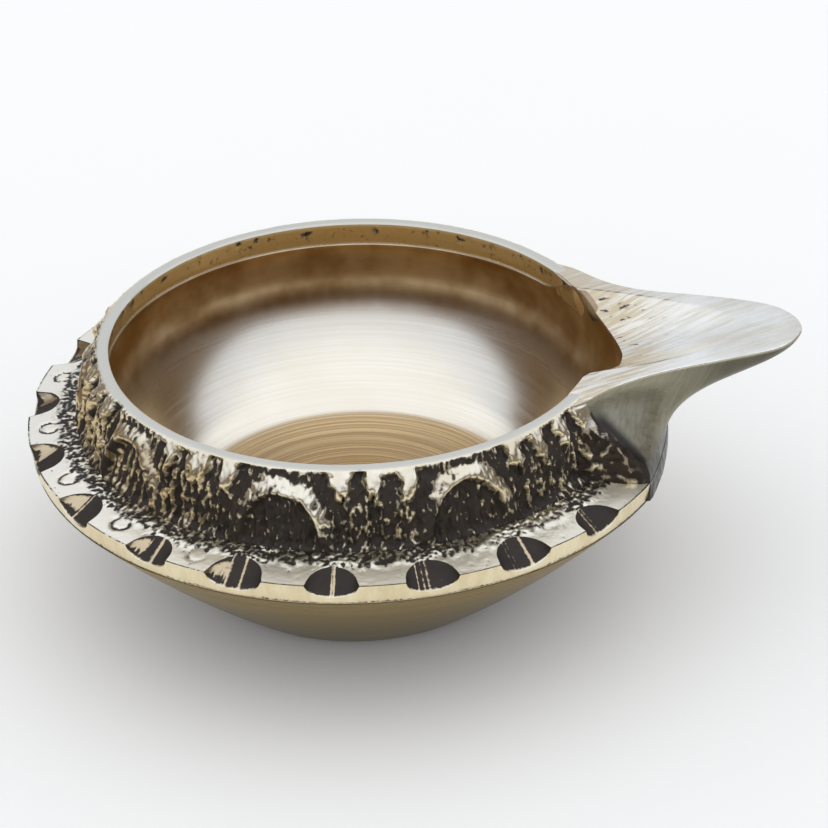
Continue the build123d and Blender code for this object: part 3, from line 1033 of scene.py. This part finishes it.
def new_group(name, inputs, outputs):
    """Empty node group with named sockets, and its two ends."""
    tree = bpy.data.node_groups.new(name, "ShaderNodeTree")
    for way, sockets in (("INPUT", inputs), ("OUTPUT", outputs)):
        for label, kind in sockets.items():
            tree.interface.new_socket(label, in_out=way, socket_type="NodeSocket" + kind)
    return tree, tree.nodes.new("NodeGroupInput").outputs, tree.nodes.new("NodeGroupOutput").inputs


def use_group(tree, group, **inputs):
    """A group placed in a material, with its inputs set by name."""
    node = tree.nodes.new("ShaderNodeGroup")
    node.node_tree = group
    for name, value in inputs.items():
        feed(tree, value, node.inputs[name])
    return node.outputs


# %% Shared brass tone
TONE_INPUTS = {"Vector": "Vector", "Marks": "Vector", "Bright": "Color", "Dull": "Color"}
TONE_OUTPUTS = {"Tone": "Color", "Rough": "Float", "Height": "Float"}
BRASS_TONE, start, end = new_group("brass_tone", TONE_INPUTS, TONE_OUTPUTS)
drift = math(BRASS_TONE, "MULTIPLY", mottle(BRASS_TONE, start["Vector"], 90.0, 4.0), 0.6)
lines = mottle(BRASS_TONE, start["Marks"], 1.0, 6.0, 0.65)
both = math(BRASS_TONE, "ADD", drift, math(BRASS_TONE, "MULTIPLY", lines, 0.5))
toned = mix(BRASS_TONE, ramp(BRASS_TONE, both, 0.38, 0.72), start["Bright"], start["Dull"])
BRASS_TONE.links.new(toned, end["Tone"])
BRASS_TONE.links.new(ramp(BRASS_TONE, lines, 0.3, 0.7), end["Rough"])
BRASS_TONE.links.new(lines, end["Height"])


def brass_tone(tree, vector, marks, bright, dull):
    """Outputs of the shared tone, placed in a material."""
    return use_group(tree, BRASS_TONE, Vector=vector, Marks=marks, Bright=bright, Dull=dull)


print("shared group:", BRASS_TONE.name)

# %% Shared patina
PATINA_DARK, PATINA_WARM = (0.020, 0.015, 0.011, 1), (0.050, 0.036, 0.023, 1)
PATINA_INPUTS = {"Vector": "Vector", "Polish": "Float", "Broken": "Float"}
PATINA_OUTPUTS = {"Speck": "Float", "Clean": "Float", "Dirt": "Color"}
PATINA, start, end = new_group("patina", PATINA_INPUTS, PATINA_OUTPUTS)
speck = mottle(PATINA, start["Vector"], 2600.0, 3.0, 0.6)
chance = math(PATINA, "MULTIPLY", math(PATINA, "SUBTRACT", speck, 0.5), start["Broken"])
clean = ramp(PATINA, math(PATINA, "ADD", start["Polish"], chance), 0.28, 0.72)
dirt = mix(PATINA, mottle(PATINA, start["Vector"], 700.0), PATINA_DARK, PATINA_WARM)
for made, label in ((speck, "Speck"), (clean, "Clean"), (dirt, "Dirt")):
    PATINA.links.new(made, end[label])
print("shared group:", PATINA.name)


# %% New material
def new_finish(name):
    """Material with its Principled shader and the piece's own coordinates."""
    material = bpy.data.materials.new(name)
    material.use_nodes = True
    tree = material.node_tree
    shader = tree.nodes["Principled BSDF"]
    place = tree.nodes.new("ShaderNodeTexCoord").outputs["Object"]
    return material, tree, shader, place


# %% [markdown]
# ### Turned brass
# The lathe leaves fine rings, so the marks follow the distance from the axis and the height.
# Inside, the polished metal is painted brown towards the lip, a painted reflection of the dim
# horizon, and the floor is painted a deeper gold, a painted reflection of the back wall. Outside,
# the underside was only rubbed down, so it is an olive brown, with painted shade that darkens it
# towards the foot, where it mirrors the floor in the lamp's shadow.

# %% Turned brass
POLISHED_LIGHT, POLISHED_DARK = (0.93, 0.83, 0.60, 1), (0.89, 0.77, 0.53, 1)
HORIZON_REFLECTION_BROWN = (0.29, 0.165, 0.065, 1)
SHADED_FOOT_OLIVE, SHOULDER_OLIVE = (0.10, 0.080, 0.052, 1), (0.46, 0.37, 0.22, 1)
RUBBED_OLIVE = (0.17, 0.13, 0.075, 1)
WALL_REFLECTION_GOLD, WALL_REFLECTION_BROWN = (0.88, 0.64, 0.30, 1), (0.46, 0.28, 0.10, 1)
GLANCING_TINT = (0.88, 0.78, 0.58, 1)
RINGS_OUT, RINGS_UP = 5200.0, 4200.0
turned_brass, tree, shader, place = new_finish("turned_brass")
parts = worked(tree)
split = add(tree, "ShaderNodeSeparateXYZ", Vector=place).outputs
square_x = math(tree, "MULTIPLY", split["X"], split["X"])
square_y = math(tree, "MULTIPLY", split["Y"], split["Y"])
radius = math(tree, "SQRT", math(tree, "ADD", square_x, square_y))
ring_x = math(tree, "MULTIPLY", radius, RINGS_OUT)
ring_y = math(tree, "MULTIPLY", split["Z"], RINGS_UP)
lathe = add(tree, "ShaderNodeCombineXYZ", X=ring_x, Y=ring_y).outputs["Vector"]
sweep = tree.nodes.new("ShaderNodeVectorMath")
sweep.operation = "ADD"
tree.links.new(lathe, sweep.inputs[0])
tree.links.new(stretched(tree, place, (60.0, 60.0, 60.0)), sweep.inputs[1])
tone = brass_tone(tree, place, sweep.outputs["Vector"], POLISHED_LIGHT, POLISHED_DARK)
# Painted reflection of the dim horizon: brown towards the lip, and a little rougher there
painted_horizon_mask = math(tree, "MULTIPLY", parts["Green"], ramp(tree, mottle(tree, place, 140.0), 0.3, 0.7, 0.6, 1.0))
polished = mix(tree, painted_horizon_mask, tone["Tone"], HORIZON_REFLECTION_BROWN)
# Painted shade: the underside darkens towards the foot
below = mix(tree, ramp(tree, split["Z"], 0.004, 0.015), SHADED_FOOT_OLIVE, SHOULDER_OLIVE)
rubbed_and_shaded = mix(tree, ramp(tree, tone["Height"], 0.40, 0.70, 0.0, 0.6), below, RUBBED_OLIVE)
# Painted reflection of the back wall: a deeper gold on the floor
wall_reflection = mix(tree, ramp(tree, tone["Height"], 0.40, 0.62), WALL_REFLECTION_GOLD, WALL_REFLECTION_BROWN)
polished = mix(tree, math(tree, "MULTIPLY", parts["Blue"], 0.8), polished, wall_reflection)
tree.links.new(mix(tree, parts["Red"], rubbed_and_shaded, polished), shader.inputs["Base Color"])
turned = ramp(tree, tone["Rough"], 0.0, 1.0, 0.18, 0.23)
tree.links.new(math(tree, "ADD", turned, math(tree, "MULTIPLY", painted_horizon_mask, 0.24)), shader.inputs["Roughness"])
shader.inputs["Specular Tint"].default_value = GLANCING_TINT
shader.inputs["Metallic"].default_value = 1.0
shader.inputs["Anisotropic"].default_value = 0.6
tangent = tree.nodes.new("ShaderNodeTangent")
tangent.direction_type = "RADIAL"
tangent.axis = "Z"
tree.links.new(tangent.outputs["Tangent"], shader.inputs["Tangent"])
rings = add(tree, "ShaderNodeBump", Strength=0.03, Distance=0.00004, Height=tone["Height"])
tree.links.new(rings.outputs["Normal"], shader.inputs["Normal"])
bowl.data.materials.append(turned_brass)

# %% [markdown]
# ### Cast brass
# The carving keeps a black patina in its grooves and is bright where it was rubbed. Each point
# says how polished it is, and a fine speckle breaks the border between metal and patina.

# %% Cast brass
CAST_LIGHT, CAST_DARK = (0.90, 0.80, 0.56, 1), (0.74, 0.62, 0.38, 1)
RIM_GREY, LEDGE_PALE, BROWN_AND_REFLECTED_TAN = (0.63, 0.58, 0.43, 1), (0.88, 0.80, 0.60, 1), (0.57, 0.42, 0.21, 1)
cast_brass, tree, shader, place = new_finish("cast_brass")
parts = worked(tree)
marks = stretched(tree, place, (900.0, 900.0, 260.0))
tone = brass_tone(tree, place, marks, CAST_LIGHT, CAST_DARK)
face = mix(tree, ramp(tree, parts["Blue"], 0.6, 1.0), RIM_GREY, LEDGE_PALE)
ground = mix(tree, ramp(tree, parts["Blue"], 0.0, 0.6), tone["Tone"], face)
# Brown painted on the inner face and the scoops, and as a painted reflection on the slope's left and back
metal = mix(tree, parts["Green"], ground, BROWN_AND_REFLECTED_TAN)
patina = use_group(tree, PATINA, Vector=place, Polish=parts["Red"], Broken=1.1)
tree.links.new(mix(tree, patina["Clean"], patina["Dirt"], metal), shader.inputs["Base Color"])
tree.links.new(ramp(tree, patina["Clean"], 0.0, 1.0, 0.55, 0.29), shader.inputs["Roughness"])
soft = ramp(tree, parts["Blue"], 0.0, 1.0, 1.0, 0.72)
metallic = math(tree, "MULTIPLY", ramp(tree, patina["Clean"], 0.0, 0.8, 0.2, 1.0), soft)
tree.links.new(metallic, shader.inputs["Metallic"])
shader.inputs["Specular IOR Level"].default_value = 0.25
cast = add(tree, "ShaderNodeBump", Strength=0.22, Distance=0.00012, Height=patina["Speck"])
tree.links.new(cast.outputs["Normal"], shader.inputs["Normal"])
collar.data.materials.append(cast_brass)

# %% [markdown]
# ### Filed brass
# The spout was filed by hand. Its top is bright, with long slanting strokes, a yellow pitted
# patch at the root and a thin dark crease where the channel meets the flat. Its flanks have
# coarser strokes that run down towards the flange, and painted shade: a dark base, darker still
# towards the flange, the roots and the tip, and full shade below the flank's foot.

# %% Filed brass
TOP_LIGHT, TOP_DARK = (0.92, 0.86, 0.67, 1), (0.66, 0.58, 0.40, 1)
# The flank's colours are painted shade, darkest in FLANK_SHADED
FLANK_LIGHT, FLANK_DARK, FLANK_SHADED = (0.30, 0.28, 0.20, 1), (0.17, 0.15, 0.10, 1), (0.034, 0.030, 0.024, 1)
ROOT_YELLOW, PIT_DARK = (0.62, 0.49, 0.27, 1), (0.09, 0.07, 0.05, 1)
STROKE_SLANT, STROKE_FALL = radians(-28), radians(-32)
filed_brass, tree, shader, place = new_finish("filed_brass")
parts = worked(tree)
split = add(tree, "ShaderNodeSeparateXYZ", Vector=place).outputs
strokes = stretched(tree, place, (170.0, 2400.0, 700.0), (0, 0, STROKE_SLANT))
top_tone = brass_tone(tree, place, strokes, TOP_LIGHT, TOP_DARK)
down = stretched(tree, place, (2600.0, 900.0, 150.0), (0, STROKE_FALL, 0))
flank_tone = brass_tone(tree, place, down, FLANK_LIGHT, FLANK_DARK)
# Depth of the channel under the flat, by the same rule as the mesh with a parabola for its round
sag = math(tree, "DIVIDE", math(tree, "MULTIPLY", split["Y"], split["Y"]), 2 * CHANNEL_ROUND * MM)
rise = math(tree, "MULTIPLY", math(tree, "SUBTRACT", split["X"], RIM_OUT * MM), CHANNEL_RISE)
depth = math(tree, "SUBTRACT", CHANNEL_DEPTH * MM, math(tree, "ADD", sag, rise))
# Yellow, pitted root and dark crease
root = math(tree, "MULTIPLY", ramp(tree, split["X"], 0.0275, 0.0335, 1.0, 0.0), parts["Blue"])
yellow = math(tree, "MULTIPLY", root, ramp(tree, top_tone["Height"], 0.42, 0.55, 0.25, 0.9))
pits = ramp(tree, mottle(tree, stretched(tree, place, (700.0, 1500.0, 900.0)), 1.0, 4.0), 0.60, 0.68)
pits = math(tree, "MULTIPLY", math(tree, "MULTIPLY", pits, root), ramp(tree, depth, 0.0002, 0.0005))
worn = ramp(tree, top_tone["Height"], 0.35, 0.6)
fading = math(tree, "MULTIPLY", ramp(tree, split["X"], 0.030, 0.036, 0.7, 0.0), worn)
beside = ramp(tree, math(tree, "ABSOLUTE", depth), 0.00002, 0.00009, 1.0, 0.0)
crease = math(tree, "MULTIPLY", math(tree, "MULTIPLY", beside, fading), parts["Blue"])
top = mix(tree, yellow, top_tone["Tone"], ROOT_YELLOW)
top = mix(tree, math(tree, "MAXIMUM", pits, crease), top, PIT_DARK)
# Flanks with their painted shade, and the patina beside the roots
flank = mix(tree, parts["Green"], flank_tone["Tone"], FLANK_SHADED)
metal = mix(tree, parts["Blue"], flank, top)
patina = use_group(tree, PATINA, Vector=place, Polish=parts["Red"], Broken=0.7)
tree.links.new(mix(tree, patina["Clean"], patina["Dirt"], metal), shader.inputs["Base Color"])
tree.links.new(ramp(tree, top_tone["Rough"], 0.0, 1.0, 0.24, 0.42), shader.inputs["Roughness"])
shader.inputs["Specular IOR Level"].default_value = 0.2
plain = ramp(tree, parts["Blue"], 0.0, 1.0, 0.5, 1.0)
metallic = math(tree, "MULTIPLY", ramp(tree, patina["Clean"], 0.0, 0.8, 0.35, 1.0), plain)
tree.links.new(metallic, shader.inputs["Metallic"])
top_strokes = math(tree, "MULTIPLY", top_tone["Height"], parts["Blue"])
flank_strokes = math(tree, "MULTIPLY", flank_tone["Height"], 0.6)
height = math(tree, "ADD", top_strokes, flank_strokes)
strokes_bump = add(tree, "ShaderNodeBump", Strength=0.3, Distance=0.0001, Height=height)
tree.links.new(strokes_bump.outputs["Normal"], shader.inputs["Normal"])
spout.data.materials.append(filed_brass)

# %% [markdown]
# ### Braze
# The two thin films of braze only show as a hair line in the joints. Both get the shared tone.

# %% Braze
BRAZE_LIGHT, BRAZE_DARK = (0.86, 0.78, 0.57, 1), (0.64, 0.54, 0.34, 1)
braze, tree, shader, place = new_finish("braze")
marks = stretched(tree, place, (800.0, 800.0, 800.0))
tone = brass_tone(tree, place, marks, BRAZE_LIGHT, BRAZE_DARK)
tree.links.new(tone["Tone"], shader.inputs["Base Color"])
tree.links.new(ramp(tree, tone["Rough"], 0.0, 1.0, 0.25, 0.45), shader.inputs["Roughness"])
shader.inputs["Metallic"].default_value = 1.0
film = add(tree, "ShaderNodeBump", Strength=0.2, Distance=0.0001, Height=tone["Height"])
tree.links.new(film.outputs["Normal"], shader.inputs["Normal"])
neck_film.data.materials.append(braze)
saddle_film.data.materials.append(braze)
print("finishes:", [material.name for material in (turned_brass, cast_brass, filed_brass, braze)])

# %% [markdown]
# ## Floor and light
# Polished brass is a mirror, so the light is mostly a matter of what stands round the lamp. A
# pale floor and a bright cool sky make the flat tops silver and the bowl's middle white. A dim
# horizon, open only behind the lamp, makes the slope dark, and its warm upper part browns the
# wall. The sky and the horizon are cards that only mirrors see, and the world gives the light.

# %% Floor
def stage_piece(name, maker, finish):
    """Object that belongs to the studio and not to the lamp."""
    bmesh.ops.remove_doubles(maker, verts=maker.verts, dist=1e-5)
    bmesh.ops.recalc_face_normals(maker, faces=maker.faces)
    mesh = bpy.data.meshes.new(name)
    maker.to_mesh(mesh)
    maker.free()
    mesh.materials.append(finish)
    piece = bpy.data.objects.new(name, mesh)
    bpy.context.collection.objects.link(piece)
    return piece


FLOOR_LIGHT, FLOOR_DARK, FLOOR_HALF = (0.99, 0.99, 0.99, 1), (0.97, 0.97, 0.97, 1), 4.0
floor_finish, tree, shader, place = new_finish("pale_floor")
shade = mix(tree, mottle(tree, place, 6.0), FLOOR_LIGHT, FLOOR_DARK)
tree.links.new(shade, shader.inputs["Base Color"])
shader.inputs["Roughness"].default_value = 0.9
shader.inputs["Specular IOR Level"].default_value = 0.1
floor_maker = bmesh.new()
bmesh.ops.create_grid(floor_maker, x_segments=1, y_segments=1, size=FLOOR_HALF)
floor = stage_piece("floor", floor_maker, floor_finish)
print(floor.name, 2 * FLOOR_HALF, "m wide")

# %% Sky dome and dark card
def card_finish(name):
    """Material that glows, with the parts of its own coordinates."""
    material = bpy.data.materials.new(name)
    material.use_nodes = True
    tree = material.node_tree
    tree.nodes.remove(tree.nodes["Principled BSDF"])
    glow = tree.nodes.new("ShaderNodeEmission")
    tree.links.new(glow.outputs["Emission"], tree.nodes["Material Output"].inputs["Surface"])
    place = tree.nodes.new("ShaderNodeTexCoord").outputs["Object"]
    return material, tree, glow, add(tree, "ShaderNodeSeparateXYZ", Vector=place).outputs


def spun_card(name, points, start, angle, finish):
    """Card made by turning a chain of points about the lamp's axis."""
    maker = bmesh.new()
    chain = [maker.verts.new((r, 0, z)) for r, z in points]
    for first, second in zip(chain, chain[1:]):
        maker.edges.new((first, second))
    bmesh.ops.rotate(maker, verts=maker.verts, matrix=Matrix.Rotation(radians(start), 3, "Z"))
    bmesh.ops.spin(
        maker,
        geom=maker.verts[:] + maker.edges[:],
        axis=(0, 0, 1),
        angle=radians(angle),
        steps=60,
        use_merge=angle == 360,
    )
    card = stage_piece(name, maker, finish)
    card.visible_camera = False
    card.visible_diffuse = False
    card.visible_shadow = False
    return card


SKY_LOW, SKY_HIGH, SKY_RADIUS = (0.78, 0.88, 1.20, 1), (1.03, 1.13, 1.46, 1), 0.62
sky_finish, tree, glow, place = card_finish("sky_dome")
tree.links.new(mix(tree, ramp(tree, place["Z"], 0.33, 0.45), SKY_LOW, SKY_HIGH), glow.inputs["Color"])
dome = [(SKY_RADIUS * cos(radians(rise)), SKY_RADIUS * sin(radians(rise))) for rise in range(12, 91, 6)]
sky_dome = spun_card("sky_dome", dome, 0, 360, sky_finish)

HORIZON_LEFT, HORIZON_DARK = (0.24, 0.19, 0.13, 1), (0.045, 0.041, 0.040, 1)
HORIZON_WARM = (0.12, 0.075, 0.04, 1)
CARD_RADIUS, CARD_TOP, CARD_START, CARD_TURN = 0.5, 0.28, 115, 285
dark_finish, tree, glow, place = card_finish("dark_card")
horizon = mix(tree, ramp(tree, place["X"], -0.42, -0.20), HORIZON_LEFT, HORIZON_DARK)
warm = mix(tree, ramp(tree, place["Z"], 0.06, 0.14), horizon, HORIZON_WARM)
tree.links.new(mix(tree, ramp(tree, place["Z"], 0.23, 0.28), warm, SKY_LOW), glow.inputs["Color"])
upright_chain = [(CARD_RADIUS, 0.0), (CARD_RADIUS, CARD_TOP / 2), (CARD_RADIUS, CARD_TOP)]
dark_card = spun_card("dark_card", upright_chain, CARD_START, CARD_TURN, dark_finish)
print("cards:", sky_dome.name, dark_card.name)

# %% World
world = bpy.data.worlds.new("studio")
world.use_nodes = True
bpy.context.scene.world = world
tree = world.node_tree
background = tree.nodes["Background"]
ray = tree.nodes.new("ShaderNodeLightPath").outputs
mirrored = math(tree, "MAXIMUM", ray["Is Glossy Ray"], ray["Is Transmission Ray"])
seen = math(tree, "MAXIMUM", ray["Is Camera Ray"], mirrored)
DAYLIGHT, WHITE = (0.98, 0.99, 1.0, 1), (1, 1, 1, 1)
tree.links.new(mix(tree, seen, DAYLIGHT, WHITE), background.inputs["Color"])
background.inputs["Strength"].default_value = 1.0
bpy.context.scene.view_settings.view_transform = "Standard"
print("world:", world.name)
